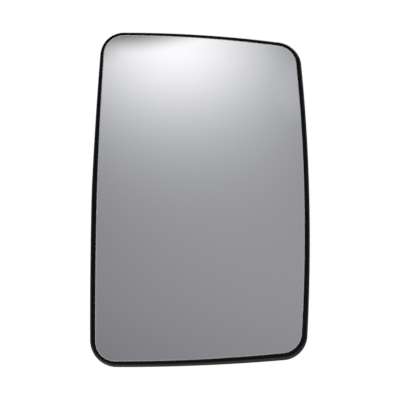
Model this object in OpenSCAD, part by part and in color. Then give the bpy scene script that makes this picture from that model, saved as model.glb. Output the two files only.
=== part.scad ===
// Door mirror glass of a van: a convex glass stuck on a moulded plate that snaps on the adjuster.
// The axis of the clip ring is Y. The glass faces -Y, up is +Z, and the origin is the centre of
// the circle that the tips of the clip's barbs make.

/* [Mirror glass] */
// Width of the glass across the corner points, before the edges bulge
glass_w = 170; // [150:0.5:190]
// Height of the glass between its two left corner points
glass_h = 274.5; // [250:0.5:300]
// Thickness of the glass
glass_t = 2; // [1.6:0.1:3]
// Radius of the convex face
mirror_r = 1300; // [1100:10:1600]
// Width of the ground bevel round the face
ground_w = 0.6; // [0.3:0.1:1]

/* [Outline] */
// How far the top left corner lies in from the left
top_left_in = 4.8; // [2:0.1:8]
// How far the top right corner lies in from the right
top_right_in = 6; // [2:0.1:10]
// How far the bottom right corner lies in from the right
bottom_right_in = 3.9; // [1:0.1:8]
// How much lower the top right corner is than the top left one
top_drop = 12.8; // [6:0.1:18]
// How much higher the bottom right corner is than the bottom left one
bottom_rise = 7.4; // [3:0.1:12]
// Height of the bend in the left edge above the clip axis
bend_z = 4; // [-20:1:20]
// How far the bend stands out from a straight left edge
bend_out = 2.1; // [1.2:0.1:3.5]
// Radius of the bend
bend_r = 900; // [600:10:1200]
// How far the top edge bulges
top_bulge = 2.7; // [1.5:0.1:4]
// How far the right edge bulges
right_bulge = 5.3; // [3:0.1:7]
// How far the bottom edge bulges
bottom_bulge = 2.8; // [1.5:0.1:4]
// How far each half of the left edge bulges
left_bulge = 0.4; // [0.2:0.1:1]
// Radius of the glass's four corners
corner_r = 16.8; // [12:0.1:24]

/* [Adhesive pad] */
// Thickness of the foam pad behind the glass
pad_t = 1; // [0.6:0.1:2]
// How far the pad stays inside the edge of the glass
pad_inset = 1.5; // [0.5:0.1:4]

/* [Backing plate] */
// Thickness of the plate
base_t = 2; // [1.6:0.1:3]
// Width of the lip round the glass, seen from the front
lip_w = 4; // [3.2:0.1:5]
// Clearance between the edge of the glass and the lip
lip_gap = 0.3; // [0.2:0.05:0.6]
// How far the crest of the lip stands in front of the glass
lip_proud = 0.7; // [0.4:0.1:1.2]
// How far the lip's skirt reaches behind the plate
skirt_h = 2; // [1:0.1:3]

/* [Ribs] */
// Thickness of the ribs
rib_t = 1.6; // [1.2:0.1:2.4]
// Height of the ribs on the back of the plate
rib_h = 2; // [1:0.1:3]
// Radius of the round rib
round_rib_r = 62; // [52:1:68]
// How far the rib along the rim lies inside the edge of the glass
rim_rib_inset = 15; // [10:1:20]

/* [Clip ring] */
// Radius of the circle that the barb tips grip
clip_r = 35; // [32:0.5:37]
// Height of the barb tips above the back of the plate
clip_h = 11; // [9:0.5:13]
// Height of the flat tip of a barb
barb_land = 1.6; // [1:0.1:2]
// How far a barb stands in from its tongue
barb_reach = 2.2; // [1.5:0.1:2.8]
// Thickness of a tongue at its foot
tongue_t = 2; // [1.6:0.1:2.6]
// Number of tongues
tongue_count = 8; // [6:1:9]
// Angle that a tongue covers
tongue_angle = 20; // [17:0.5:22]
// Angle that a guide wall between two tongues covers
guide_angle = 14; // [10:0.5:16]
// How much lower the guide walls are than the barb tips
guide_drop = 3; // [2:0.5:5]
// How much lower the gussets are than the guide walls that they hold
gusset_drop = 1.5; // [0.5:0.5:3]
// Depth of the lead-in on a barb, along the clip axis and across it
lead_in = 1.6; // [1:0.1:2]
// Width of the locating key on the guide wall at the top
key_w = 4; // [3:0.5:6]
// Clearance between the locating key and the circle of the barb tips
key_gap = 0.6; // [0.3:0.1:1]

/* [Hidden] */

glass_colour = "#c9c9ce";
foam_colour = "#3a3a3c";
plastic_colour = "#1b1b1c";

// Depths behind the convex face, all measured square to it
pad_d = glass_t;
base_d = pad_d + pad_t;
back_d = base_d + base_t;
skirt_d = back_d + skirt_h;

// Where the face's pole and the centre of its curve lie on the Y axis
face_pole_y = -(clip_h + back_d);
curve_y = face_pole_y + mirror_r;
back_pole_y = -clip_h;

// Space in front of and behind the part that a cutting solid runs through
margin = 20;

// Straight steps in each round and in each edge, in the order of the corners
round_steps = 8;
edge_steps = [8, 12, 8, 6, 6];

// Corner points, clockwise from the top left, with the bend of the left edge last
bend_line_in = top_left_in * (bend_z + glass_h / 2) / glass_h;
glass_corners = [
    [-glass_w / 2 + top_left_in, glass_h / 2],
    [glass_w / 2 - top_right_in, glass_h / 2 - top_drop],
    [glass_w / 2 - bottom_right_in, -glass_h / 2 + bottom_rise],
    [-glass_w / 2, -glass_h / 2],
    [-glass_w / 2 + bend_line_in - bend_out, bend_z]
];
outward = [[-1, 1], [1, 1], [1, -1], [-1, -1], [-1, 0]];
bulges = [top_bulge, right_bulge, bottom_bulge, left_bulge, left_bulge];
glass_rounds = [corner_r, corner_r, corner_r, corner_r, bend_r];

// The lip is a little narrower at the bottom left and wider at the bend than lip_w
lip_trim = [[1, -0.3], [-0.3, 0.3], [-0.1, -0.3], [-0.3, 0.7], [-0.7, 0]];
case_corners = [for (i = [0:4]) glass_corners[i] + lip_w * outward[i] + lip_trim[i]];
case_rounds = [for (r = glass_rounds) r + lip_w];
rim_rib_corners = [for (i = [0:4]) glass_corners[i] - rim_rib_inset * outward[i]];

// The lip's section as points of how far across it, from 0 at the glass to 1 outside, and depth:
// up the pocket wall, over the crest in shares of lip_proud, down the flared side in shares of
// skirt_d, and round the skirt's rear edge back into the plate
crest = [[0, -0.3], [0.05, -0.72], [0.14, -0.95], [0.26, -1], [0.38, -0.8], [0.5, -0.3]];
flare = [[0.6, 0.08], [0.74, 0.3], [0.88, 0.62], [1, 0.95], [0.97, 1]];
skirt_inside = 0.62;
plate_edge_side = 0.7;
lip_section = concat(
    [[0, base_d + base_t / 4]],
    [for (p = crest) [p.x, p.y * lip_proud]],
    [for (p = flare) [p.x, p.y * skirt_d]],
    [[skirt_inside + 0.04, skirt_d], [skirt_inside, base_d + base_t / 2]]
);

// Inner radius of the clip ring's walls, and where the ribs start inside their thickness
ring_r = clip_r + barb_reach;
web_start_r = ring_r + tongue_t / 2;
foot_y = back_pole_y - base_t / 2;
sector = 360 / tongue_count;

// Draft on the outside of the clip ring's walls, chamfer inside the guide walls, slope of a barb's
// catching side, and how far the mould's core stands in past the barb tips
wall_draft = 0.4;
guide_chamfer = 0.4;
catch_slope = 0.6;
core_clear = 0.2;

function unit(v) = v / norm(v);
function left_of(v) = [-v.y, v.x];
function bearing(v) = atan2(v.y, v.x);

// An edge is the arc through two corner points that bulges outwards by the amount given
function edge_r(a, b, bulge) = pow(norm(b - a), 2) / (8 * bulge) + bulge / 2;
function edge_centre(a, b, bulge) =
    (a + b) / 2 - left_of(unit(b - a)) * (edge_r(a, b, bulge) - bulge);

// Where circles of radius r1 round o1 and r2 round o2 meet, on the side of the corner point
function meeting(o1, r1, o2, r2, corner) =
    let (
        d = norm(o2 - o1),
        along = (d * d + r1 * r1 - r2 * r2) / (2 * d),
        side = sqrt(r1 * r1 - along * along),
        foot = o1 + unit(o2 - o1) * along,
        reach = left_of(unit(o2 - o1)) * side
    )
    norm(foot + reach - corner) < norm(foot - reach - corner) ? foot + reach : foot - reach;

// Points of an arc from one bearing to another, the short way, without its last point
function arc(o, r, from, to, steps) =
    let (turn = (to - from + 540) % 360 - 180)
    [for (i = [0:steps - 1]) o + r * [cos(from + turn * i / steps), sin(from + turn * i / steps)]];

// Outline of bulging edges with rounded corners, grown outwards by the amount given
function outline(corners, rounds, grow = 0) =
    let (
        n = len(corners),
        radius = [for (i = [0:n - 1]) edge_r(corners[i], corners[(i + 1) % n], bulges[i])],
        centre = [for (i = [0:n - 1]) edge_centre(corners[i], corners[(i + 1) % n], bulges[i])],
        round = [
            for (i = [0:n - 1])
                let (before = (i + n - 1) % n)
                meeting(
                    centre[before], radius[before] - rounds[i],
                    centre[i], radius[i] - rounds[i], corners[i]
                )
        ]
    )
    [
        for (i = [0:n - 1])
            let (
                before = (i + n - 1) % n,
                start = bearing(round[i] - centre[before]),
                middle = bearing(round[i] - centre[i]),
                end = bearing(round[(i + 1) % n] - centre[i])
            )
            each concat(
                arc(round[i], rounds[i] + grow, start, middle, round_steps),
                arc(centre[i], radius[i] + grow, middle, end, edge_steps[i])
            )
    ];

glass_edge = outline(glass_corners, glass_rounds);
pocket_edge = outline(glass_corners, glass_rounds, lip_gap);
case_edge = outline(case_corners, case_rounds);
plate_edge = [
    for (i = [0:len(case_edge) - 1])
        pocket_edge[i] + (case_edge[i] - pocket_edge[i]) * plate_edge_side
];

// The point at a plan position that lies the given depth behind the convex face
function behind(p, depth) =
    [p.x, curve_y - sqrt(pow(mirror_r - depth, 2) - p.x * p.x - p.y * p.y), p.y];

// A ring whose section, a list of 3D points at each station, follows a closed outline
module swept_ring(stations) {
    n = len(stations);
    k = len(stations[0]);
    faces = [
        for (i = [0:n - 1], j = [0:k - 1])
            let (
                a = i * k + j,
                b = i * k + (j + 1) % k,
                c = ((i + 1) % n) * k + (j + 1) % k,
                d = ((i + 1) % n) * k + j
            )
            each [[a, b, c], [a, c, d]]
    ];
    polyhedron([for (s = stations) each s], faces);
}

// A plan outline extruded along Y through the whole part
module through_part() {
    translate([0, margin, 0])
        rotate([90, 0, 0])
            linear_extrude(2 * margin - face_pole_y)
                children();
}

// Everything that lies behind the surface at a given depth
module behind_face(depth) {
    translate([0, curve_y, 0]) sphere(r = mirror_r - depth, $fn = 256);
}

// A plan outline cut to the layer between two depths
module layer(from, to) {
    difference() {
        intersection() {
            through_part() children();
            behind_face(from);
        }
        behind_face(to);
    }
}

// A section of radius and height turned round the clip axis, middle of its angle at a bearing
module round_clip_axis(middle, angle) {
    rotate([0, -middle, 0])
        rotate([-90, 0, 0])
            rotate([0, 0, -angle / 2])
                rotate_extrude(angle = angle, $fn = 96)
                    children();
}

// A ring with a triangular section whose slant runs 1 mm past the bevel at each end
module ground_bevel_cutter() {
    inner = outline(glass_corners, glass_rounds, -ground_w - 1);
    outer = outline(glass_corners, glass_rounds, 1);
    swept_ring([
        for (i = [0:len(glass_edge) - 1])
            [behind(inner[i], -1), behind(outer[i], -1), behind(outer[i], ground_w + 1)]
    ]);
}

module lip() {
    swept_ring([
        for (i = [0:len(case_edge) - 1])
            [for (p = lip_section) behind(pocket_edge[i] + (case_edge[i] - pocket_edge[i]) * p.x, p.y)]
    ]);
}

module tongue() {
    tip = barb_land / 2;
    polygon([
        [ring_r, foot_y],
        [ring_r + tongue_t, foot_y],
        [ring_r + tongue_t - wall_draft, tip + lead_in],
        [clip_r + lead_in, tip + lead_in],
        [clip_r, tip],
        [clip_r, -tip],
        [ring_r, -tip - catch_slope]
    ]);
}

module guide_wall() {
    polygon([
        [ring_r, foot_y],
        [ring_r + tongue_t, foot_y],
        [ring_r + tongue_t - wall_draft, -guide_drop],
        [ring_r + guide_chamfer, -guide_drop],
        [ring_r, -guide_drop - guide_chamfer]
    ]);
}

module clip_ring() {
    for (i = [0:tongue_count - 1]) {
        round_clip_axis(90 + sector * (i + 0.5), tongue_angle) tongue();
        round_clip_axis(90 + sector * i, guide_angle) guide_wall();
    }
    translate([-key_w / 2, foot_y, clip_r + key_gap])
        cube([key_w, -guide_drop - guide_chamfer - foot_y, web_start_r - clip_r - key_gap]);
}

// The mould's cores for the barbs leave a window in the plate under each of them
module core_windows() {
    for (i = [0:tongue_count - 1])
        round_clip_axis(90 + sector * (i + 0.5), tongue_angle)
            translate([clip_r - core_clear, face_pole_y])
                square([barb_reach + core_clear, back_d + base_t]);
}

// A rib runs out from each guide wall, and one between each two from the round rib
module rib_plan() {
    intersection() {
        union() {
            for (i = [0:2 * tongue_count - 1])
                rotate(90 + sector / 2 * i)
                    translate([i % 2 == 0 ? web_start_r : round_rib_r, -rib_t / 2])
                        square([glass_h, rib_t]);
            difference() {
                circle(r = round_rib_r + rib_t / 2, $fn = 96);
                circle(r = round_rib_r - rib_t / 2, $fn = 96);
            }
        }
        polygon(plate_edge);
    }
    difference() {
        polygon(outline(rim_rib_corners, glass_rounds, rib_t / 2));
        polygon(outline(rim_rib_corners, glass_rounds, -rib_t / 2));
    }
}

// A web that slopes from a guide wall down to the round rib
module gusset(at) {
    rotate([0, -at, 0])
        linear_extrude(rib_t, center = true)
            polygon([
                [web_start_r, foot_y],
                [web_start_r, -guide_drop - gusset_drop],
                [round_rib_r, behind([round_rib_r, 0], back_d + rib_h).y],
                [round_rib_r, behind([round_rib_r, 0], base_d + base_t / 2).y]
            ]);
}

module ribs() {
    layer(base_d + base_t / 2, back_d + rib_h) rib_plan();
    for (i = [0:tongue_count - 1])
        gusset(90 + sector * i);
}

module mirror_glass() {
    color(glass_colour)
        difference() {
            layer(0, pad_d) polygon(glass_edge);
            ground_bevel_cutter();
        }
}

module adhesive_pad() {
    color(foam_colour)
        layer(pad_d, base_d) polygon(outline(glass_corners, glass_rounds, -pad_inset));
}

module backing_plate() {
    color(plastic_colour)
        union() {
            difference() {
                layer(base_d, back_d) polygon(plate_edge);
                core_windows();
            }
            lip();
            ribs();
            clip_ring();
        }
}

mirror_glass();
adhesive_pad();
backing_plate();
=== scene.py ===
import math

import bmesh
import bpy
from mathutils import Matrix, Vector


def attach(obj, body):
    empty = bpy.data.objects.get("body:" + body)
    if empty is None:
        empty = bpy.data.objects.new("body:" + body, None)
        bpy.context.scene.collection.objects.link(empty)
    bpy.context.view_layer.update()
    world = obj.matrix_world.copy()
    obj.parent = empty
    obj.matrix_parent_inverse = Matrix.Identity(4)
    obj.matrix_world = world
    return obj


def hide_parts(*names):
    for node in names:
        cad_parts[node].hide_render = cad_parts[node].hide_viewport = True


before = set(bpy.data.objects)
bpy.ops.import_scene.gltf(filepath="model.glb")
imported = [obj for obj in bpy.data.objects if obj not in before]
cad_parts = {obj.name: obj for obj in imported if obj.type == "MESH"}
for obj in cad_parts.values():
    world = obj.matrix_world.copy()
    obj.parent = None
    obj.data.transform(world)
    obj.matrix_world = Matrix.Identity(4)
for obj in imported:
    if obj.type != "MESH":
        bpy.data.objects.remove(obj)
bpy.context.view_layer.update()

mm = 0.001
weld = 0.001 * mm   # points closer than this are one point
scene = bpy.context.scene

# The glass's outline in millimetres, seen from the front, with the clip axis at 0, 0
outline = {
    "corners": [(-80.42, 137.5), (79.0, 124.7), (80.9, -129.67), (-84.78, -137.1), (-84.62, 4.0)],
    "bulges": (2.7, 5.3, 2.8, 0.4, 0.4),        # top, right, bottom, lower left, upper left
    "rounds": (16.8, 17.2, 16.8, 16.4, 900.0),  # the last one is the bend in the left edge
    "roundSteps": (24, 24, 24, 24, 8),
    "edgeSteps": (24, 36, 24, 18, 18),
}

# The convex face and the layers behind it, as depths in millimetres square to the face
layers = {
    "faceRadius": 1300.0,
    "facePole": -16.0,   # where the middle of the face lies on Y
    "glassBack": 2.0,
    "plateFront": 3.0,
    "plateBack": 5.0,
    "ribTop": 7.0,
}


def linear(code):
    # sRGB hex to the linear colour that shaders take
    parts = [int(code[i:i + 2], 16) / 255 for i in (1, 3, 5)]
    return tuple(c / 12.92 if c <= 0.04045 else ((c + 0.055) / 1.055) ** 2.4 for c in parts) + (1.0,)


def addNode(tree, kind, inputs=(), **settings):
    # Adds a node with its settings, values and links; a node among the inputs lends its first output
    node = tree.nodes.new(kind)
    for name, value in settings.items():
        setattr(node, name, value)
    for key, value in dict(inputs).items():
        if isinstance(value, bpy.types.Node):
            value = value.outputs[0]
        if isinstance(value, bpy.types.NodeSocket):
            tree.links.new(value, node.inputs[key])
        else:
            node.inputs[key].default_value = value
    return node


def toward(bearing):
    # The way of a bearing in the XZ plane: 0 is to the right, and a quarter turn is up
    return Vector((math.cos(bearing), math.sin(bearing)))


def bearingOf(way):
    return math.atan2(way.y, way.x)


# Plan geometry: an edge is an arc through two corners, and each corner is rounded
def edgeCircle(a, b, bulge):
    radius = (b - a).length_squared / (8 * bulge) + bulge / 2
    along = (b - a).normalized()
    return (a + b) / 2 - Vector((-along.y, along.x)) * (radius - bulge), radius


def circlesMeet(o1, r1, o2, r2, corner):
    gap = (o2 - o1).length
    along = (gap * gap + r1 * r1 - r2 * r2) / (2 * gap)
    side = math.sqrt(r1 * r1 - along * along)
    way = (o2 - o1).normalized()
    foot = o1 + way * along
    reach = Vector((-way.y, way.x)) * side
    return min((foot + reach, foot - reach), key=lambda p: (p - corner).length)


def arcPoints(centre, radius, start, end, steps):
    # The shorter way round, without the last point
    turn = (end - start + 3 * math.pi) % math.tau - math.pi
    return [centre + radius * toward(start + turn * i / steps) for i in range(steps)]


def outlinePoints(corners, rounds, grow=0.0):
    corners = [Vector(c) for c in corners]
    n = len(corners)
    circles = [edgeCircle(corners[i], corners[(i + 1) % n], outline["bulges"][i]) for i in range(n)]
    centres = [circlesMeet(circles[i - 1][0], circles[i - 1][1] - rounds[i],
                           circles[i][0], circles[i][1] - rounds[i], corners[i]) for i in range(n)]
    points = []
    for i in range(n):
        before, after = circles[i - 1], circles[i]
        start = bearingOf(centres[i] - before[0])
        middle = bearingOf(centres[i] - after[0])
        end = bearingOf(centres[(i + 1) % n] - after[0])
        points += arcPoints(centres[i], rounds[i] + grow, start, middle, outline["roundSteps"][i])
        points += arcPoints(after[0], after[1] + grow, middle, end, outline["edgeSteps"][i])
    return points


def crossing(points, bearing):
    # Where a ray from the clip axis crosses a closed outline
    ray = toward(bearing)
    for a, b in zip(points, points[1:] + points[:1]):
        sideA, sideB = ray.cross(a), ray.cross(b)
        if sideA >= 0 > sideB or sideB >= 0 > sideA:
            hit = a + (b - a) * (sideA / (sideA - sideB))
            if hit.dot(ray) > 0:
                return hit


def behindFace(x, z, depth):
    radius = layers["faceRadius"]
    return layers["facePole"] + radius - math.sqrt((radius - depth) ** 2 - x * x - z * z)


# Guide meshes that the node trees sample; they are deleted once the pieces are made
guides = []


def guideMesh(name, points, edges, **vectors):
    mesh = bpy.data.meshes.new(name)
    mesh.from_pydata(points, edges, [])
    for label, values in vectors.items():
        layer = mesh.attributes.new(label, "FLOAT_VECTOR", "POINT")
        for i, value in enumerate(values):
            layer.data[i].vector = value
    guide = bpy.data.objects.new(name, mesh)
    scene.collection.objects.link(guide)
    guides.append(guide)
    return guide


def planGuide(name, inner, outer):
    # A closed path whose points know an inner and an outer place in the XZ plane
    places = [[(p.x * mm, 0, p.y * mm) for p in points] for points in (inner, outer)]
    n = len(outer)
    return guideMesh(name, places[1], [(i, (i + 1) % n) for i in range(n)], inner=places[0], outer=places[1])


def sectionGuide(name, points):
    # Each point is its share of the inner place, its share of the outer place, and its depth
    return guideMesh(name, [(a, b, depth * mm) for a, b, depth in points],
                     [(i, i + 1) for i in range(len(points) - 1)])


def newTree(name, sockets):
    tree = bpy.data.node_groups.new(name, "GeometryNodeTree")
    for label, kind in sockets:
        tree.interface.new_socket(name=label, in_out="INPUT", socket_type="NodeSocket" + kind)
    tree.interface.new_socket(name="Geometry", in_out="OUTPUT", socket_type="NodeSocketGeometry")
    return tree, addNode(tree, "NodeGroupInput").outputs


def endTree(tree, geometry, material):
    solid = addNode(tree, "GeometryNodeRealizeInstances", {"Geometry": geometry})
    painted = addNode(tree, "GeometryNodeSetMaterial", {"Geometry": solid, "Material": material})
    addNode(tree, "NodeGroupOutput", {"Geometry": painted})
    return tree


def onCurvedLayer(tree, plan, depth, given):
    # The point of the layer at a depth behind the convex face, over a place in the XZ plane
    radius, pole = given["Face Radius"], given["Face Pole"]
    inner = addNode(tree, "ShaderNodeMath", {0: radius, 1: depth}, operation="SUBTRACT")
    squared = addNode(tree, "ShaderNodeMath", {0: inner, 1: inner}, operation="MULTIPLY")
    outward = addNode(tree, "ShaderNodeVectorMath", {0: plan, 1: plan}, operation="DOT_PRODUCT")
    left = addNode(tree, "ShaderNodeMath", {0: squared, 1: outward.outputs["Value"]}, operation="SUBTRACT")
    drop = addNode(tree, "ShaderNodeMath", {0: left}, operation="SQRT")
    centre = addNode(tree, "ShaderNodeMath", {0: pole, 1: radius}, operation="ADD")
    y = addNode(tree, "ShaderNodeMath", {0: centre, 1: drop}, operation="SUBTRACT")
    lift = addNode(tree, "ShaderNodeCombineXYZ", {"Y": y})
    return addNode(tree, "ShaderNodeVectorMath", {0: plan, 1: lift}, operation="ADD")


def laidOnPlate(tree, flat, given):
    # Lays flat geometry on the curved back of the plate: X and Y give the place, and Z the height
    parts = addNode(tree, "ShaderNodeSeparateXYZ", {0: addNode(tree, "GeometryNodeInputPosition")}).outputs
    plan = addNode(tree, "ShaderNodeCombineXYZ", {"X": parts[0], "Z": parts[1]})
    depth = addNode(tree, "ShaderNodeMath", {0: given["Depth"], 1: parts[2]}, operation="ADD")
    place = onCurvedLayer(tree, plan, depth, given)
    return addNode(tree, "GeometryNodeSetPosition", {"Geometry": flat, "Position": place})


def sweptSectionTree():
    # A section carried round a path, on the curved layers behind the face
    tree, given = newTree("sweptSection", (
        ("Path", "Object"), ("Section", "Object"), ("Face Radius", "Float"), ("Face Pole", "Float"),
        ("Window Row", "Int"), ("Window Period", "Int"), ("Window Start", "Int"), ("Window End", "Int"),
        ("Material", "Material")))
    path, section = (addNode(tree, "GeometryNodeObjectInfo", {"Object": given[label]}).outputs["Geometry"]
                     for label in ("Path", "Section"))
    counts = [addNode(tree, "GeometryNodeAttributeDomainSize", {"Geometry": source}).outputs["Point Count"]
              for source in (path, section)]

    # Whole numbers, from the index: a point's station and step, and a face's row and column
    made = {"index": addNode(tree, "GeometryNodeInputIndex"), "stations": counts[0], "steps": counts[1],
            "period": given["Window Period"]}
    for name, operation, *terms in (
            ("gridColumns", "ADD", "stations", 1), ("turned", "DIVIDE", "index", "steps"),
            ("station", "MODULO", "turned", "stations"), ("step", "MODULO", "index", "steps"),
            ("rows", "SUBTRACT", "steps", 1), ("row", "MODULO", "index", "rows"),
            ("faceStation", "DIVIDE", "index", "rows"), ("column", "MODULO", "faceStation", "period")):
        made[name] = addNode(tree, "FunctionNodeIntegerMath",
                             {i: made.get(term, term) for i, term in enumerate(terms)}, operation=operation)
    grid = addNode(tree, "GeometryNodeMeshGrid",
                   {"Vertices X": made["gridColumns"], "Vertices Y": made["steps"]})
    known = [addNode(tree, "GeometryNodeInputNamedAttribute", {"Name": label}, data_type="FLOAT_VECTOR")
             for label in ("inner", "outer")] + [addNode(tree, "GeometryNodeInputPosition")]
    inner, outer, shares = (
        addNode(tree, "GeometryNodeSampleIndex", {"Geometry": source, "Value": value, "Index": made[at]},
                data_type="FLOAT_VECTOR")
        for source, value, at in zip((path, path, section), known, ("station", "station", "step")))
    shares = addNode(tree, "ShaderNodeSeparateXYZ", {0: shares}).outputs
    scaled = [addNode(tree, "ShaderNodeVectorMath", {0: end, "Scale": share}, operation="SCALE")
              for end, share in ((inner, shares[0]), (outer, shares[1]))]
    plan = addNode(tree, "ShaderNodeVectorMath", {0: scaled[0], 1: scaled[1]}, operation="ADD")
    place = onCurvedLayer(tree, plan, shares[2], given)
    shaped = addNode(tree, "GeometryNodeSetPosition", {"Geometry": grid, "Position": place})

    # Each face keeps its row in the section, and windows are faces left out of one row
    tests = [addNode(tree, "FunctionNodeCompare", {0: made[name], 1: given[label]},
                     data_type="FLOAT", operation=operation)
             for name, label, operation in (("row", "Window Row", "EQUAL"),
                                            ("column", "Window Start", "GREATER_EQUAL"),
                                            ("column", "Window End", "LESS_THAN"))]
    both = addNode(tree, "FunctionNodeBooleanMath", {0: tests[0], 1: tests[1]}, operation="AND")
    window = addNode(tree, "FunctionNodeBooleanMath", {0: both, 1: tests[2]}, operation="AND")
    rowed = addNode(tree, "GeometryNodeStoreNamedAttribute",
                    {"Geometry": shaped, "Name": "row", "Value": made["row"]},
                    data_type="INT", domain="FACE")
    cut = addNode(tree, "GeometryNodeDeleteGeometry", {"Geometry": rowed, "Selection": window},
                  domain="FACE")
    closed = addNode(tree, "GeometryNodeMergeByDistance", {"Geometry": cut, "Distance": weld})
    smooth = addNode(tree, "GeometryNodeSetShadeSmooth", {"Geometry": closed, "Shade Smooth": True})
    return endTree(tree, smooth, given["Material"])


def ribTree():
    # A section carried along flat lines, then laid on the curved back of the plate
    tree, given = newTree("ribsOnPlate", (
        ("Lines", "Object"), ("Section", "Object"), ("Face Radius", "Float"), ("Face Pole", "Float"),
        ("Depth", "Float"), ("Material", "Material")))
    lines, section = (addNode(tree, "GeometryNodeObjectInfo", {"Object": given[label]}).outputs["Geometry"]
                      for label in ("Lines", "Section"))
    curves, profile = (addNode(tree, "GeometryNodeMeshToCurve", {"Mesh": mesh}) for mesh in (lines, section))
    upright = addNode(tree, "GeometryNodeSetCurveNormal", {"Curve": curves}, mode="Z_UP")
    swept = addNode(tree, "GeometryNodeCurveToMesh",
                    {"Curve": upright, "Profile Curve": profile, "Fill Caps": True})
    smooth = addNode(tree, "GeometryNodeSetShadeSmooth",
                     {"Geometry": laidOnPlate(tree, swept, given), "Shade Smooth": True})
    return endTree(tree, smooth, given["Material"])


def marksTree():
    # Copies of a mark at flat points, laid on the curved back of the plate as the ribs are
    tree, given = newTree("marksOnPlate", (
        ("Points", "Object"), ("Mark", "Object"), ("Face Radius", "Float"), ("Face Pole", "Float"),
        ("Depth", "Float"), ("Material", "Material")))
    points, mark = (addNode(tree, "GeometryNodeObjectInfo", {"Object": given[label]}).outputs["Geometry"]
                    for label in ("Points", "Mark"))
    copies = addNode(tree, "GeometryNodeInstanceOnPoints", {"Points": points, "Instance": mark})
    loose = addNode(tree, "GeometryNodeRealizeInstances", {"Geometry": copies})
    return endTree(tree, laidOnPlate(tree, loose, given), given["Material"])


def ringTree():
    # Copies of a piece turned evenly round the clip axis
    tree, given = newTree("ringOfCopies", (
        ("Piece", "Object"), ("Copies", "Int"), ("First Bearing", "Float"), ("Material", "Material")))
    piece = addNode(tree, "GeometryNodeObjectInfo", {"Object": given["Piece"]}).outputs["Geometry"]
    points = addNode(tree, "GeometryNodePoints", {"Count": given["Copies"]})
    index = addNode(tree, "GeometryNodeInputIndex")
    step = addNode(tree, "ShaderNodeMath", {0: math.tau, 1: given["Copies"]}, operation="DIVIDE")
    turn = addNode(tree, "ShaderNodeMath", {0: index, 1: step, 2: given["First Bearing"]},
                   operation="MULTIPLY_ADD")
    back = addNode(tree, "ShaderNodeMath", {0: turn, 1: -1.0}, operation="MULTIPLY")
    rotation = addNode(tree, "ShaderNodeCombineXYZ", {"Y": back})
    copies = addNode(tree, "GeometryNodeInstanceOnPoints",
                     {"Points": points, "Instance": piece, "Rotation": rotation})
    return endTree(tree, copies, given["Material"])


def grown(name, tree, values):
    # Runs a tree on an empty mesh and keeps the plain result
    piece = bpy.data.objects.new(name, bpy.data.meshes.new(name))
    scene.collection.objects.link(piece)
    modifier = piece.modifiers.new(tree.name, "NODES")
    modifier.node_group = tree
    sockets = {s.name: s.identifier for s in tree.interface.items_tree
               if s.item_type == "SOCKET" and s.in_out == "INPUT"}
    for label, value in values.items():
        modifier[sockets[label]] = value
    plain(piece)
    piece.data.materials.clear()   # Set Material leaves an empty first slot
    piece.data.materials.append(values["Material"])
    piece.data.polygons.foreach_set("material_index", [0] * len(piece.data.polygons))
    return piece


def plain(piece):
    # Replaces a piece's mesh by what its modifiers make of it
    graph = bpy.context.evaluated_depsgraph_get()
    mesh = bpy.data.meshes.new_from_object(piece.evaluated_get(graph), depsgraph=graph)
    piece.modifiers.clear()
    piece.data = mesh
    mesh.name = piece.name
    return piece


def pieceFrom(work, name):
    # Makes an object of what was built, and lets go of the builder
    mesh = bpy.data.meshes.new(name)
    work.to_mesh(mesh)
    work.free()
    piece = bpy.data.objects.new(name, mesh)
    scene.collection.objects.link(piece)
    return piece


def softEdges(piece, width, degrees):
    # Rounds the edges that are sharper than the angle, and keeps the plain result
    soft = piece.modifiers.new("soft", "BEVEL")
    soft.width = width * mm
    soft.segments = 2
    soft.limit_method = "ANGLE"
    soft.angle_limit = math.radians(degrees)
    return plain(piece)


crispDegrees = 35.0   # edges sharper than this stay crisp


def tidyFaces(piece, sharpDegrees=crispDegrees):
    # Merges doubles, turns the faces outwards and marks the crisp edges
    work = bmesh.new()
    work.from_mesh(piece.data)
    bmesh.ops.remove_doubles(work, verts=work.verts, dist=weld)
    bmesh.ops.dissolve_degenerate(work, edges=work.edges, dist=weld / 10)
    bmesh.ops.recalc_face_normals(work, faces=work.faces)
    work.to_mesh(piece.data)
    work.free()
    piece.data.shade_smooth()
    piece.data.set_sharp_from_angle(angle=math.radians(sharpDegrees))
    return piece


def newMaterial(name):
    material = bpy.data.materials.new(name)
    material.use_nodes = True
    material.node_tree.nodes.clear()
    return material, material.node_tree


# Chromed mirror coating behind polished float glass: a cool, slightly dark mirror without grain,
# with the faintest haze where it has been wiped
def silveredGlass():
    material, tree = newMaterial("silveredFloatGlass")
    place = addNode(tree, "ShaderNodeTexCoord").outputs["Object"]
    wipeSize = 45 * mm
    haze = addNode(tree, "ShaderNodeTexNoise", {"Vector": place, "Scale": 1 / wipeSize, "Detail": 3.0})
    rough = addNode(tree, "ShaderNodeMapRange", {
        "Value": haze, "From Min": 0.35, "From Max": 0.75, "To Min": 0.012, "To Max": 0.03})
    shader = addNode(tree, "ShaderNodeBsdfPrincipled", {
        "Base Color": linear("#e6e6e7"), "Metallic": 1.0, "Roughness": rough})
    addNode(tree, "ShaderNodeOutputMaterial", {0: shader})
    return material


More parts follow.
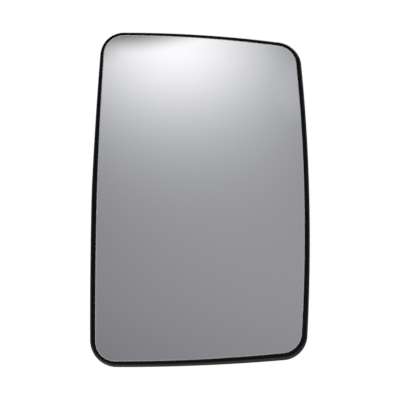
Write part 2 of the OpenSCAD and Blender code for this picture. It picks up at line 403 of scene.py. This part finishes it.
# Wheel-ground glass edge: pale grey-green and frosted, so it catches light as a thin line
def groundGlass():
    material, tree = newMaterial("groundGlassEdge")
    place = addNode(tree, "ShaderNodeTexCoord").outputs["Object"]
    gritSize, gritDepth = 0.4 * mm, 0.02 * mm
    grit = addNode(tree, "ShaderNodeTexNoise", {"Vector": place, "Scale": 1 / gritSize, "Detail": 2.0})
    tone = addNode(tree, "ShaderNodeValToRGB", {0: grit})
    for stop, colour in zip(tone.color_ramp.elements, ("#acb0b2", "#b6b9ba")):
        stop.color = linear(colour)
    dents = addNode(tree, "ShaderNodeBump", {"Height": grit, "Strength": 0.15, "Distance": gritDepth})
    shader = addNode(tree, "ShaderNodeBsdfPrincipled", {
        "Base Color": tone, "Metallic": 0.3, "Roughness": 0.5, "IOR": 1.52, "Normal": dents})
    addNode(tree, "ShaderNodeOutputMaterial", {0: shader})
    return material


# Backing paint over the mirror coating: dull dark grey, rolled on
def mirrorPaint():
    material, tree = newMaterial("mirrorBackPaint")
    place = addNode(tree, "ShaderNodeTexCoord").outputs["Object"]
    napSize = 3 * mm
    rolled = addNode(tree, "ShaderNodeTexNoise", {"Vector": place, "Scale": 1 / napSize, "Detail": 4.0})
    tone = addNode(tree, "ShaderNodeValToRGB", {0: rolled})
    for stop, colour in zip(tone.color_ramp.elements, ("#35383a", "#414446")):
        stop.color = linear(colour)
    shader = addNode(tree, "ShaderNodeBsdfPrincipled", {"Base Color": tone, "Roughness": 0.6, "IOR": 1.5})
    addNode(tree, "ShaderNodeOutputMaterial", {0: shader})
    return material


# Closed-cell polyethylene foam, sliced: dull charcoal with fine open pores
def closedCellFoam():
    material, tree = newMaterial("closedCellFoam")
    place = addNode(tree, "ShaderNodeTexCoord").outputs["Object"]
    poreSize, poreDepth = 0.5 * mm, 0.15 * mm
    cells = addNode(tree, "ShaderNodeTexVoronoi", {"Vector": place, "Scale": 1 / poreSize})
    tone = addNode(tree, "ShaderNodeValToRGB", {0: cells.outputs["Distance"]})
    for stop, colour in zip(tone.color_ramp.elements, ("#2c2c2e", "#444447")):
        stop.color = linear(colour)
    pores = addNode(tree, "ShaderNodeBump",
                    {"Height": cells.outputs["Distance"], "Strength": 0.6, "Distance": poreDepth})
    shader = addNode(tree, "ShaderNodeBsdfPrincipled", {
        "Base Color": tone, "Roughness": 0.85, "IOR": 1.5, "Normal": pores})
    addNode(tree, "ShaderNodeOutputMaterial", {0: shader})
    return material


# Injection-moulded ABS, dyed black, with a slight flow shade. The lip's crest comes from a polished part of
# the mould: deep and satin. Its flank has a fine spark-eroded grain, duller and a little greyer, and the back
# a coarser one that breaks up the light (0.25 and 0.4 mm in life, both drawn at 1.1 mm so that they show).
def mouldedAbs(name, colours, rough, shine, grainSize, grainDepth):
    material, tree = newMaterial(name)
    place = addNode(tree, "ShaderNodeTexCoord").outputs["Object"]
    flowSize = 30 * mm
    spread = 0.04   # how far the roughness wanders with the flow
    flow = addNode(tree, "ShaderNodeTexNoise", {"Vector": place, "Scale": 1 / flowSize, "Detail": 2.0})
    grain = addNode(tree, "ShaderNodeTexNoise",
                    {"Vector": place, "Scale": 1 / (grainSize * mm), "Detail": 3.0})
    tone = addNode(tree, "ShaderNodeValToRGB", {0: flow})
    for stop, colour in zip(tone.color_ramp.elements, colours):
        stop.color = linear(colour)
    gloss = addNode(tree, "ShaderNodeMapRange", {
        "Value": flow, "From Min": 0.3, "From Max": 0.7, "To Min": rough - spread, "To Max": rough + spread})
    dents = addNode(tree, "ShaderNodeBump", {"Height": grain, "Distance": grainDepth * mm})
    shader = addNode(tree, "ShaderNodeBsdfPrincipled", {
        "Base Color": tone, "Roughness": gloss, "IOR": 1.53, "Specular IOR Level": shine, "Normal": dents})
    addNode(tree, "ShaderNodeOutputMaterial", {0: shader})
    return material


silvered, ground, paint, foam = silveredGlass(), groundGlass(), mirrorPaint(), closedCellFoam()
satinAbs = mouldedAbs("satinBlackAbs", ("#040405", "#060607"),
                      rough=0.4, shine=0.16, grainSize=0.3, grainDepth=0.0025)
grainedAbs = mouldedAbs("grainedBlackAbs", ("#1c1c1e", "#242426"),
                        rough=0.5, shine=0.5, grainSize=1.1, grainDepth=0.02)
coarseAbs = mouldedAbs("coarseGrainedBlackAbs", ("#1a1a1c", "#29292b"),
                       rough=0.45, shine=0.5, grainSize=1.1, grainDepth=0.3)
sweptSection, ribsOnPlate = sweptSectionTree(), ribTree()
marksOnPlate, ringOfCopies = marksTree(), ringTree()
curved = {"Face Radius": layers["faceRadius"] * mm, "Face Pole": layers["facePole"] * mm}
noWindows = {"Window Row": -1, "Window Period": 1, "Window Start": 0, "Window End": 0}
print("materials and node trees ready")

# The convex glass, with its front edge ground round
glass = {
    "groundWidth": 0.9,
    "groundDepth": 0.95,
    "groundTurns": (30, 60, 90),   # the ground edge is a quarter round
    "rearChamfer": 0.25,
    "faceRows": 28,
    "backRows": 6,
    "crispDegrees": 15.0,
}
glassEdge = outlinePoints(outline["corners"], outline["rounds"])
faceEdge = outlinePoints(outline["corners"], outline["rounds"], -glass["groundWidth"])


def glassSection():
    rows = glass["faceRows"]
    points = [(i / rows, 0, 0) for i in range(rows + 1)]
    for turn in glass["groundTurns"]:
        t = math.radians(turn)
        points.append((1 - math.sin(t), math.sin(t), glass["groundDepth"] * (1 - math.cos(t))))
    share = glass["rearChamfer"] / glass["groundWidth"]
    points.append((0, 1, layers["glassBack"] - glass["rearChamfer"]))
    points.append((share, 1 - share, layers["glassBack"]))
    rows = glass["backRows"]
    return points + [(i / rows, 0, layers["glassBack"]) for i in range(rows, -1, -1)]


mirrorGlass = grown("mirrorGlass", sweptSection, {
    "Path": planGuide("glassPath", faceEdge, glassEdge),
    "Section": sectionGuide("glassSection", glassSection()),
    "Material": silvered, **curved, **noWindows})
mirrorGlass.data.materials.clear()
for finish in (silvered, ground, paint):
    mirrorGlass.data.materials.append(finish)
paintFrom = glass["faceRows"] + len(glass["groundTurns"]) + 2   # after the straight side and the chamfer
for face, row in zip(mirrorGlass.data.polygons, mirrorGlass.data.attributes["row"].data):
    face.material_index = 0 if row.value < glass["faceRows"] else 1 if row.value < paintFrom else 2
tidyFaces(mirrorGlass, glass["crispDegrees"])


def exactFaceNormals(piece):
    # The mirror face takes the sphere's own normals, so that no facet shows in what it reflects
    mesh = piece.data
    centre = Vector((0, layers["facePole"] + layers["faceRadius"], 0)) * mm
    normals = [n.vector.copy() for n in mesh.corner_normals]
    for face in mesh.polygons:
        if face.material_index == 0:
            for corner in face.loop_indices:
                normals[corner] = (mesh.vertices[mesh.loops[corner].vertex_index].co - centre).normalized()
    mesh.normals_split_custom_set(normals)


exactFaceNormals(mirrorGlass)
print("mirror glass made")

# The foam pad between the glass and the plate
pad = {"inset": 1.5, "sideBulge": 0.12, "rows": 4}
padEdge = outlinePoints(outline["corners"], outline["rounds"], -pad["inset"])
padBulge = outlinePoints(outline["corners"], outline["rounds"], pad["sideBulge"] - pad["inset"])
padPoints = [(i / pad["rows"], 0, layers["glassBack"]) for i in range(pad["rows"] + 1)]
padPoints.append((0, 1, (layers["glassBack"] + layers["plateFront"]) / 2))
padPoints += [(i / pad["rows"], 0, layers["plateFront"]) for i in range(pad["rows"], -1, -1)]
foamPad = grown("foamPad", sweptSection, {
    "Path": planGuide("padPath", padEdge, padBulge), "Section": sectionGuide("padSection", padPoints),
    "Material": foam, **curved, **noWindows})
tidyFaces(foamPad)
print("foam pad made")

# The lip round the glass: from the pocket wall over the crest, down the flared side, round the skirt
lip = {
    "gap": 0.3,
    "caseCorners": [(-83.3, 140.95), (82.95, 128.75), (85.25, -134.15), (-89.25, -140.55), (-89.45, 4.0)],
    "caseRounds": (19.6, 20.8, 20.8, 21.9, 904.0),
    # Share across from the pocket to the case's edge, and depth behind the face
    "front": [(0, 3.5), (0, 1.2), (0, 0.1), (0.04, -0.42), (0.14, -0.66), (0.26, -0.7), (0.38, -0.56),
              (0.5, -0.21), (0.6, 0.56), (0.74, 2.1), (0.88, 4.34), (0.97, 6.0), (1, 6.6)],
    "rear": [(0.985, 6.94), (0.95, 7.0), (0.7, 7.0), (0.66, 6.9), (0.62, 6.6), (0.62, 4.0)],
    "stepsBetween": 3,
    "grainFrom": 8,   # the point of the front where the polished crest ends and the grained flank starts
    "plateEdgeShare": 0.7,
}
pocketEdge = outlinePoints(outline["corners"], outline["rounds"], lip["gap"])
caseEdge = outlinePoints(lip["caseCorners"], lip["caseRounds"])


def throughPoints(points, steps):
    # A smooth line through the points
    line = []
    for i in range(len(points) - 1):
        a, b, c, d = (Vector(points[min(max(i + k, 0), len(points) - 1)]) for k in (-1, 0, 1, 2))
        for s in range(steps):
            t = s / steps
            line.append(tuple(0.5 * (2 * b + (c - a) * t + (2 * a - 5 * b + 4 * c - d) * t * t
                                     + (3 * b - a - 3 * c + d) * t ** 3)))
    return line + [tuple(points[-1])]


lipLine = throughPoints(lip["front"], lip["stepsBetween"]) + lip["rear"] + lip["front"][:1]
lipPiece = grown("lip", sweptSection, {
    "Path": planGuide("lipPath", pocketEdge, caseEdge),
    "Section": sectionGuide("lipSection", [(1 - share, share, depth) for share, depth in lipLine]),
    "Material": satinAbs, **curved, **noWindows})
for finish in (grainedAbs, coarseAbs):
    lipPiece.data.materials.append(finish)
for face, row in zip(lipPiece.data.polygons, lipPiece.data.attributes["row"].data):
    point = row.value // lip["stepsBetween"]
    face.material_index = 0 if point < lip["grainFrom"] else 1 if point < len(lip["front"]) - 1 else 2
print("lip made")

# The curved plate, in rings round the clip axis, with a core window under each barb
plate = {
    "stations": 288,
    "innerRadii": (0, 12, 24, 34.8, 37.2, 45, 52, 60),
    "outerRings": 6,
    "windowRow": 3,    # between the fourth and the fifth of the radii
    "thickness": 2.0,
    "round": 0.2,
    "roundFrom": 60,   # edges that turn by more degrees than this are rounded
}
plateEdge = [a + (b - a) * lip["plateEdgeShare"] for a, b in zip(pocketEdge, caseEdge)]


def makePlate():
    n = plate["stations"]
    bearings = [math.tau * i / n for i in range(n)]
    rim = plate["innerRadii"][-1]
    inner = [toward(b) * rim for b in bearings]
    outer = [crossing(plateEdge, b) for b in bearings]
    rings = [(r / rim, 0, layers["plateFront"]) for r in plate["innerRadii"]]
    rings += [(1 - i / plate["outerRings"], i / plate["outerRings"], layers["plateFront"])
              for i in range(1, plate["outerRings"] + 1)]
    period = n // clips["copies"]
    half = clips["tongueDegrees"] / 360 * n / 2
    piece = grown("plate", sweptSection, {
        "Path": planGuide("platePath", inner, outer), "Section": sectionGuide("plateSection", rings),
        "Window Row": plate["windowRow"], "Window Period": period,
        "Window Start": round(period / 2 - half), "Window End": round(period / 2 + half),
        "Material": coarseAbs, **curved})
    if piece.data.polygons[0].normal.y > 0:
        piece.data.flip_normals()
    wall = piece.modifiers.new("wall", "SOLIDIFY")
    wall.thickness = plate["thickness"] * mm
    wall.offset = -1
    return softEdges(piece, plate["round"], plate["roundFrom"])


upward = math.radians(90)   # the bearing of the first clip and of the first spoke
root = -12.0                # the Y at which the clips end, inside the plate

# The ring of clips: in each eighth a barbed tongue, a guide wall and its gusset.
# Sections are radius and Y in millimetres, and both walls stand on the same foot.
wallFoot = [(37.2, root), (40.0, root), (39.8, -10.35), (39.3, -9.8)]
clips = {
    "copies": 8,
    "tongueDegrees": 20.0,
    "guideDegrees": 14.0,
    "tongue": wallFoot + [(38.8, 2.4), (36.6, 2.4), (35, 0.8), (35, -0.8), (37.2, -1.4)],
    "guide": wallFoot + [(38.8, -3), (37.6, -3), (37.2, -3.4)],
    "arcSteps": 10,
    "gussetStart": 38.2,
    "gussetTop": -4.5,
    "gussetEnd": 62.0,
    "gussetSink": 1.0,         # how deep its outer end reaches into the plate
    "gussetThickness": 1.6,
    "keyRadii": (35.6, 38.2),
    "keyTop": -3.4,
    "keyWidth": 4.0,
    "round": 0.25,
    "roundFrom": 25,
}


def turnedPiece(work, section, degrees, middleDegrees, steps):
    # A closed section turned part of the way round the clip axis
    rings = []
    for i in range(steps + 1):
        b = math.radians(middleDegrees - degrees / 2 + degrees * i / steps)
        rings.append([work.verts.new((r * math.cos(b) * mm, y * mm, r * math.sin(b) * mm))
                      for r, y in section])
    n = len(section)
    for one, two in zip(rings, rings[1:]):
        for j in range(n):
            work.faces.new((one[j], one[(j + 1) % n], two[(j + 1) % n], two[j]))
    work.faces.new(rings[0])
    work.faces.new(rings[-1])


def flatPiece(work, section, thickness):
    # A closed section in radius and Y, given a thickness across the bearing 0
    sides = [[work.verts.new((r * mm, y * mm, side * thickness / 2 * mm)) for r, y in section]
             for side in (-1, 1)]
    n = len(section)
    for j in range(n):
        work.faces.new((sides[0][j], sides[0][(j + 1) % n], sides[1][(j + 1) % n], sides[1][j]))
    work.faces.new(sides[0])
    work.faces.new(sides[1])


def builtPiece(name, build):
    # A piece from what the build function adds, with its edges rounded
    work = bmesh.new()
    build(work)
    bmesh.ops.recalc_face_normals(work, faces=work.faces)
    return softEdges(pieceFrom(work, name), clips["round"], clips["roundFrom"])


def makeSector(work):
    start, end = clips["gussetStart"], clips["gussetEnd"]
    turnedPiece(work, clips["tongue"], clips["tongueDegrees"], 180 / clips["copies"], clips["arcSteps"])
    turnedPiece(work, clips["guide"], clips["guideDegrees"], 0, clips["arcSteps"])
    flatPiece(work, [(start, root), (start, clips["gussetTop"]), (end, behindFace(end, 0, layers["ribTop"])),
                     (end, behindFace(end, 0, layers["plateBack"] - clips["gussetSink"]))],
              clips["gussetThickness"])


def makeKey(work):
    corners = [(x * clips["keyWidth"] / 2 * mm, y * mm, z * mm)
               for z in clips["keyRadii"] for y in (root, clips["keyTop"]) for x in (-1, 1)]
    block = bmesh.ops.create_cube(work, size=1)["verts"]
    for vert, place in zip(sorted(block, key=lambda v: (v.co.z, v.co.y, v.co.x)), corners):
        vert.co = place


plateSheet = makePlate()
sector = builtPiece("sector", makeSector)
guides.append(sector)
clipRing = grown("clipRing", ringOfCopies, {
    "Piece": sector, "Copies": clips["copies"], "First Bearing": upward, "Material": coarseAbs})
locatingKey = builtPiece("locatingKey", makeKey)
print("plate and clip ring made")

# Ribs on the plate's back: spokes, a round rib and a rib along the rim, with filleted feet
ribs = {
    "spokes": 16,
    "spokeStart": (38.2, 62.0),   # by turns from the clip ring and from the round rib
    "spokeSteps": 14,
    "roundRadius": 62.0,
    "roundSteps": 180,
    "rimInset": 15.0,
    # Half of the section: how far out from the middle, and height above the plate
    "half": [(1.6, -0.3), (1.2, 0.06), (0.92, 0.34), (0.85, 0.7), (0.78, 1.72), (0.7, 1.92), (0.52, 2.0)],
}


def rimLine():
    # The outline's corners moved inwards, and its left bend too
    shift = ((-1, 1), (1, 1), (1, -1), (-1, -1), (-1, 0))
    corners = [Vector(c) - ribs["rimInset"] * Vector(s) for c, s in zip(outline["corners"], shift)]
    return outlinePoints(corners, outline["rounds"])


def ribLines():
    points, edges = [], []

    def addLine(line, closed):
        first = len(points)
        points.extend((p.x * mm, p.y * mm, 0) for p in line)
        edges.extend((first + i, first + i + 1) for i in range(len(line) - 1))
        if closed:
            edges.append((first + len(line) - 1, first))

    for i in range(ribs["spokes"]):
        bearing = upward + math.tau * i / ribs["spokes"]
        start = toward(bearing) * ribs["spokeStart"][i % 2]
        end = crossing(plateEdge, bearing)
        addLine([start.lerp(end, k / ribs["spokeSteps"]) for k in range(ribs["spokeSteps"] + 1)], False)
    steps = ribs["roundSteps"]
    addLine([toward(math.tau * i / steps) * ribs["roundRadius"] for i in range(steps)], True)
    addLine(rimLine(), True)
    return guideMesh("ribLines", points, edges)


ribLoop = [(-x, h) for x, h in ribs["half"]] + [(x, h) for x, h in reversed(ribs["half"])]
ribSection = guideMesh("ribSection", [(x * mm, -h * mm, 0) for x, h in ribLoop],
                       [(i, (i + 1) % len(ribLoop)) for i in range(len(ribLoop))])
ribPiece = grown("ribs", ribsOnPlate, {
    "Lines": ribLines(), "Section": ribSection, "Depth": layers["plateBack"] * mm,
    "Material": coarseAbs, **curved})
print("ribs made")

# Round marks that the ejector pins of the mould leave, and the nub of the gate in the middle
marks = {
    "nearRadius": 52.0,      # one in each second bay round the clip ring
    "fromRim": 11.0,         # and one in each bay, this far inside the rib along the rim,
    "clear": 7.0,            # where that is clear of the round rib
    # Half of a mark's section: radius, and height above the plate
    "pin": [(2.9, -0.2), (2.75, 0.12), (2.6, 0.2), (2.2, 0.2), (2.05, 0.14), (1.9, 0.06)],
    "gate": [(2.4, -0.2), (2.0, 0.1), (1.3, 0.2), (1.1, 0.42), (0.8, 0.5)],
    "sides": 24,
}


def roundMark(name, section):
    work = bmesh.new()
    n = marks["sides"]
    turns = [math.tau * i / n for i in range(n)]
    rings = [[work.verts.new((r * math.cos(t) * mm, r * math.sin(t) * mm, h * mm)) for t in turns]
             for r, h in section]
    for one, two in zip(rings, rings[1:]):
        for i in range(n):
            work.faces.new((one[i], one[(i + 1) % n], two[(i + 1) % n], two[i]))
    work.faces.new(rings[-1])
    work.faces.new(rings[0][::-1])
    mark = pieceFrom(work, name)
    guides.append(mark)
    return mark


def pinPlaces():
    places = []
    rim = rimLine()
    for i in range(ribs["spokes"]):
        bearing = upward + math.tau * (i + 0.5) / ribs["spokes"]
        way = toward(bearing)
        if i % 2:
            places.append(way * marks["nearRadius"])
        reach = crossing(rim, bearing).length - marks["fromRim"]
        if reach > ribs["roundRadius"] + marks["clear"]:
            places.append(way * reach)
    return [(p.x * mm, p.y * mm, 0) for p in places]


def marksAt(name, places, section):
    return grown(name, marksOnPlate, {
        "Points": guideMesh(name + "Places", places, []), "Mark": roundMark(name + "Shape", section),
        "Depth": layers["plateBack"] * mm, "Material": coarseAbs, **curved})


pinMarks = marksAt("pinMarks", pinPlaces(), marks["pin"])
gateNub = marksAt("gateNub", [(0, 0, 0)], marks["gate"])
print("mould marks made")


def joined(name, pieces, finishes):
    # One moulding out of its parts, each of which keeps its finish
    work = bmesh.new()
    for piece in pieces:
        tidyFaces(piece)
        used = [finishes.index(m) for m in piece.data.materials] or [len(finishes) - 1]
        for face in piece.data.polygons:
            face.material_index = used[min(face.material_index, len(used) - 1)]
        work.from_mesh(piece.data)
    whole = pieceFrom(work, name)
    for finish in finishes:
        whole.data.materials.append(finish)
    whole.data.set_sharp_from_angle(angle=math.radians(crispDegrees))
    for piece in pieces:
        bpy.data.objects.remove(piece)
    return whole


backingPlate = joined(
    "backingPlate", [lipPiece, plateSheet, clipRing, locatingKey, ribPiece, pinMarks, gateNub],
    [satinAbs, grainedAbs, coarseAbs])
for guide in guides:
    bpy.data.objects.remove(guide)

for piece, node in ((mirrorGlass, "mirror_glass"), (foamPad, "adhesive_pad"),
                    (backingPlate, "backing_plate")):
    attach(piece, "root")
    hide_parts(node)
    print(piece.name, "faces", len(piece.data.polygons))

# The floor lies well below, because the camera looks up at the glass. Sizes are in metres.
stage = {
    "floorHeight": -0.6,
    "floorSize": 14.0,
    "fadeFrom": 1.0,
    "fadeTo": 4.5,
    "wearSize": 2000 / 3 * mm,   # patches on the floor
    "roomLight": 0.6,            # how bright the white room shines on matt things
    # Name, place, width and height, and watts; both look at the origin
    "softboxes": (("overheadSoftbox", (-0.2, -1.1, 1.5), (1.2, 0.8), 30),
                  ("rearSoftbox", (0.55, 1.0, 1.6), (0.9, 0.7), 45)),
}


def seenDirectly(tree):
    # 1 for rays from the camera and for those that metal and glass send on
    ray = addNode(tree, "ShaderNodeLightPath").outputs
    seen = addNode(tree, "ShaderNodeMath", {0: ray["Is Camera Ray"], 1: ray["Is Glossy Ray"]},
                   operation="MAXIMUM")
    return addNode(tree, "ShaderNodeMath", {0: seen, 1: ray["Is Transmission Ray"]}, operation="MAXIMUM")


# Matt painted boards: pale, without sheen, and going over into the white of the room further out
def paleBoards():
    material, tree = newMaterial("palePaintedFloor")
    place = addNode(tree, "ShaderNodeTexCoord").outputs["Object"]
    wear = addNode(tree, "ShaderNodeTexNoise",
                   {"Vector": place, "Scale": 1 / stage["wearSize"], "Detail": 3.0})
    tone = addNode(tree, "ShaderNodeValToRGB", {0: wear})
    for stop, colour in zip(tone.color_ramp.elements, ("#ececeb", "#f1f1f0")):
        stop.color = linear(colour)
    shader = addNode(tree, "ShaderNodeBsdfPrincipled", {
        "Base Color": tone, "Roughness": 0.9, "Specular IOR Level": 0.1})
    far = addNode(tree, "ShaderNodeVectorMath", {0: place}, operation="LENGTH").outputs["Value"]
    fade = addNode(tree, "ShaderNodeMapRange", {
        "Value": far, "From Min": stage["fadeFrom"], "From Max": stage["fadeTo"]},
        interpolation_type="SMOOTHSTEP")
    share = addNode(tree, "ShaderNodeMath", {0: fade, 1: seenDirectly(tree)}, operation="MULTIPLY")
    white = addNode(tree, "ShaderNodeEmission", {"Color": (1, 1, 1, 1), "Strength": 1.0})
    mixed = addNode(tree, "ShaderNodeMixShader", {0: share, 1: shader, 2: white})
    addNode(tree, "ShaderNodeOutputMaterial", {0: mixed})
    return material


# What the mirror sees: a round card in front of it that looks grey and shows only in reflections. Its
# emission is painted light: a big soft lamp's glow painted running down it, with no lamp there.
# The painted glow is a hill of brightness, and the painted lamp's upper edge is a soft slanting curve. Black
# flags carry the card on round the sides and the back, and leave a round gap there through which the white
# shows.
card = {
    "radius": 3.0, "gapDegrees": 8.0, "rings": 32, "sides": 48,
    "glow": 1.73, "glowX": -0.08, "glowZ": 0.54, "glowWidth": 0.26, "glowHeight": 0.17, "glowFall": 0.76,
    "tilt": 0.15, "rise": -0.49, "bend": -1.78, "least": 0.14,
    "edgeZ": 0.555, "edgeSlope": 0.38, "edgeCurve": 0.98, "edgeSoft": 0.03, "gain": 1.26,
    # Painted shade in the painted lamp's upper corners, left and right: range of X, share of shade over it,
    # range of Z
    "shades": (((-0.235, -0.175), (0.23, 0.0), (0.468, 0.495)), ((0.09, 0.16), (0.0, 0.1), (0.47, 0.51))),
    # Tone of the painted glow: cool where the card is dim, white where the painted lamp is bright
    "tones": ((0.3, "#f9f8ff"), (0.37, "#f8faff"), (0.8, "#fefeff")),   # cool card, white lamp
    "flagFrom": -0.1, "flagTo": 0.4, "dark": (0.02, 0.03),
    # Light from below, for the undersides of the lip and of the bevel
    "under": 0.2, "underFrom": -0.1, "underTo": -0.5,
    "otherTone": "#f3f3ec",
    # Round lamps painted into the card's emission, seen only in reflections: strength, direction, and the
    # cosines where the light starts and where it is full.
    # One low behind the left side for the lip's lower corner, one overhead for the back, and a small
    # weak one that shows at the right edge of the glass.
    "spots": ((0.25, (-0.62, 0.64, -0.45), 0.8, 0.97), (9.0, (0.3, 0.4, 0.866), 0.92, 0.985),
              (0.07, (0.2, -0.888, 0.414), 0.9965, 1.0)),
}


def paintedGlowCard():
    # Emission painted with a lamp's glow, its shaded corners and round lamps, seen only in reflections
    material, tree = newMaterial("greyStudioCard")
    place = addNode(tree, "ShaderNodeTexCoord").outputs["Object"]
    way = addNode(tree, "ShaderNodeVectorMath", {0: place}, operation="NORMALIZE")
    made = dict(zip("xyz", addNode(tree, "ShaderNodeSeparateXYZ", {0: way}).outputs))

    # Each row names a result and gives its operation and terms. A soft step's terms are a value,
    # the two ends of its range, and what comes out at them.
    rows = [
        ("aside", "SUBTRACT", "x", card["glowX"]),
        ("across", "DIVIDE", "aside", card["glowWidth"]),
        ("above", "SUBTRACT", "z", card["glowZ"]),
        ("up", "DIVIDE", "above", card["glowHeight"]),
        ("acrossSquared", "MULTIPLY", "across", "across"),
        ("upSquared", "MULTIPLY_ADD", "up", "up", 1.0),
        ("away", "ADD", "acrossSquared", "upSquared"),
        ("fall", "POWER", "away", card["glowFall"]),
        ("hill", "DIVIDE", card["glow"], "fall"),
        ("steepness", "MULTIPLY_ADD", "z", card["bend"], card["rise"]),
        ("slope", "MULTIPLY", "steepness", "z"),
        ("ground", "MULTIPLY_ADD", "x", card["tilt"], "slope"),
        ("both", "ADD", "hill", "ground"),
        ("level", "MAXIMUM", "both", card["least"]),
        ("lean", "MULTIPLY_ADD", "x", card["edgeCurve"], card["edgeSlope"]),
        ("top", "MULTIPLY_ADD", "lean", "x", card["edgeZ"]),
        ("inside", "SUBTRACT", "top", "z"),
        ("edge", "SMOOTHSTEP", "inside", -card["edgeSoft"], card["edgeSoft"], 0.0, card["gain"]),
        ("flags", "SMOOTHSTEP", "y", card["flagFrom"], card["flagTo"], 1.0, 0.0),
        ("front", "MULTIPLY", "edge", "flags"),
        ("dark", "SMOOTHSTEP", "y", card["flagFrom"], card["flagTo"], *card["dark"]),
        ("others", "SMOOTHSTEP", "z", card["underTo"], card["underFrom"], card["under"], 0.0),
    ]
    for acrossRange, shares, heightRange in card["shades"]:
        rows += [
            ("shareAcross", "SMOOTHSTEP", "x", *acrossRange, *shares),
            ("shareUp", "SMOOTHSTEP", "z", *heightRange, 0.0, 1.0),
            ("shade", "MULTIPLY", "shareAcross", "shareUp"),
            ("left", "SUBTRACT", 1.0, "shade"),
            ("front", "MULTIPLY", "front", "left"),
        ]
    rows.append(("strength", "MULTIPLY_ADD", "level", "front", "dark"))
    for i, (strength, lampWay, start, full) in enumerate(card["spots"]):
        cosine = "cosine" + str(i)
        made[cosine] = addNode(tree, "ShaderNodeVectorMath", {0: way, 1: lampWay},
                               operation="DOT_PRODUCT").outputs["Value"]
        rows += [("spot", "SMOOTHSTEP", cosine, start, full, 0.0, strength),
                 ("others", "ADD", "others", "spot")]
    for name, operation, *terms in rows:
        inputs = {i: made.get(term, term) for i, term in enumerate(terms)}
        if operation == "SMOOTHSTEP":
            made[name] = addNode(tree, "ShaderNodeMapRange", inputs, interpolation_type=operation)
        else:
            made[name] = addNode(tree, "ShaderNodeMath", inputs, operation=operation)

    tone = addNode(tree, "ShaderNodeValToRGB", {0: made["level"]})
    stops = tone.color_ramp.elements
    stops.new(card["tones"][1][0])
    for stop, (position, colour) in zip(stops, card["tones"]):
        stop.position = position
        stop.color = linear(colour)
    shown = addNode(tree, "ShaderNodeEmission", {"Color": tone, "Strength": made["strength"]})
    other = addNode(tree, "ShaderNodeEmission",
                    {"Color": linear(card["otherTone"]), "Strength": made["others"]})
    light = addNode(tree, "ShaderNodeAddShader", {0: shown, 1: other})
    addNode(tree, "ShaderNodeOutputMaterial", {0: light})
    return material


def paleFloor():
    half = stage["floorSize"] / 2
    low = stage["floorHeight"]
    work = bmesh.new()
    work.faces.new([work.verts.new((x, y, low)) for x, y in
                    ((-half, -half), (half, -half), (half, half), (-half, half))])
    boards = pieceFrom(work, "floor")
    boards.data.materials.append(paleBoards())
    boards.visible_glossy = False   # the card goes on below them
    return boards


def cardAround():
    # Rings round the front pole, as far as the gap at the back
    work = bmesh.new()
    rings = []
    n = card["sides"]
    turns = [math.tau * j / n for j in range(n)]
    for i in range(1, card["rings"] + 1):
        fromPole = math.radians((180 - card["gapDegrees"]) * i / card["rings"])
        reach = card["radius"] * math.sin(fromPole)
        y = -card["radius"] * math.cos(fromPole)
        rings.append([work.verts.new((reach * math.cos(t), y, reach * math.sin(t))) for t in turns])
    pole = work.verts.new((0, -card["radius"], 0))
    for j in range(n):
        work.faces.new((pole, rings[0][j], rings[0][(j + 1) % n]))
        for one, two in zip(rings, rings[1:]):
            work.faces.new((one[j], two[j], two[(j + 1) % n], one[(j + 1) % n]))
    around = pieceFrom(work, "studioCard")
    around.data.materials.append(paintedGlowCard())
    for kind in ("visible_camera", "visible_diffuse", "visible_shadow", "visible_transmission"):
        setattr(around, kind, False)
    return around


def turnedToward(holder, place, aim):
    # Puts a lamp or the camera in its place and turns it to what it looks at
    holder.location = place
    holder.rotation_euler = (Vector(aim) - Vector(place)).to_track_quat("-Z", "Y").to_euler()
    scene.collection.objects.link(holder)


def softLamp(name, place, size, watts):
    lamp = bpy.data.lights.new(name, "AREA")
    lamp.shape = "RECTANGLE"
    lamp.size, lamp.size_y = size
    lamp.energy = watts
    holder = bpy.data.objects.new(name, lamp)
    holder.visible_glossy = False   # the card gives the reflections
    turnedToward(holder, place, (0, 0, 0))


def makeWorld():
    world = bpy.data.worlds.new("softRoom")
    scene.world = world
    world.use_nodes = True
    tree = world.node_tree
    tree.nodes.clear()
    strength = addNode(tree, "ShaderNodeMapRange",
                       {"Value": seenDirectly(tree), "To Min": stage["roomLight"], "To Max": 1.0})
    shader = addNode(tree, "ShaderNodeBackground", {"Color": (1, 1, 1, 1), "Strength": strength})
    addNode(tree, "ShaderNodeOutputWorld", {0: shader})


# The photograph's view: from 12 degrees below and a little to the right, from 1.3 m
view = {
    "place": (0.0331, -1.2792, -0.2754),
    "aim": (-0.0002, -0.008, -0.0051),
    "lens": 142.8,
    "sensor": 36.0,
    "near": 0.05,
    "far": 40,
}


def makeCamera():
    camera = bpy.data.cameras.new("camera")
    camera.lens = view["lens"]
    camera.sensor_width = view["sensor"]
    camera.clip_start, camera.clip_end = view["near"], view["far"]
    holder = bpy.data.objects.new("camera", camera)
    turnedToward(holder, view["place"], view["aim"])
    scene.camera = holder


floor, studioCard = paleFloor(), cardAround()
for softbox in stage["softboxes"]:
    softLamp(*softbox)
makeWorld()
makeCamera()
scene.view_settings.view_transform = "Standard"
print("stage, light and camera ready")
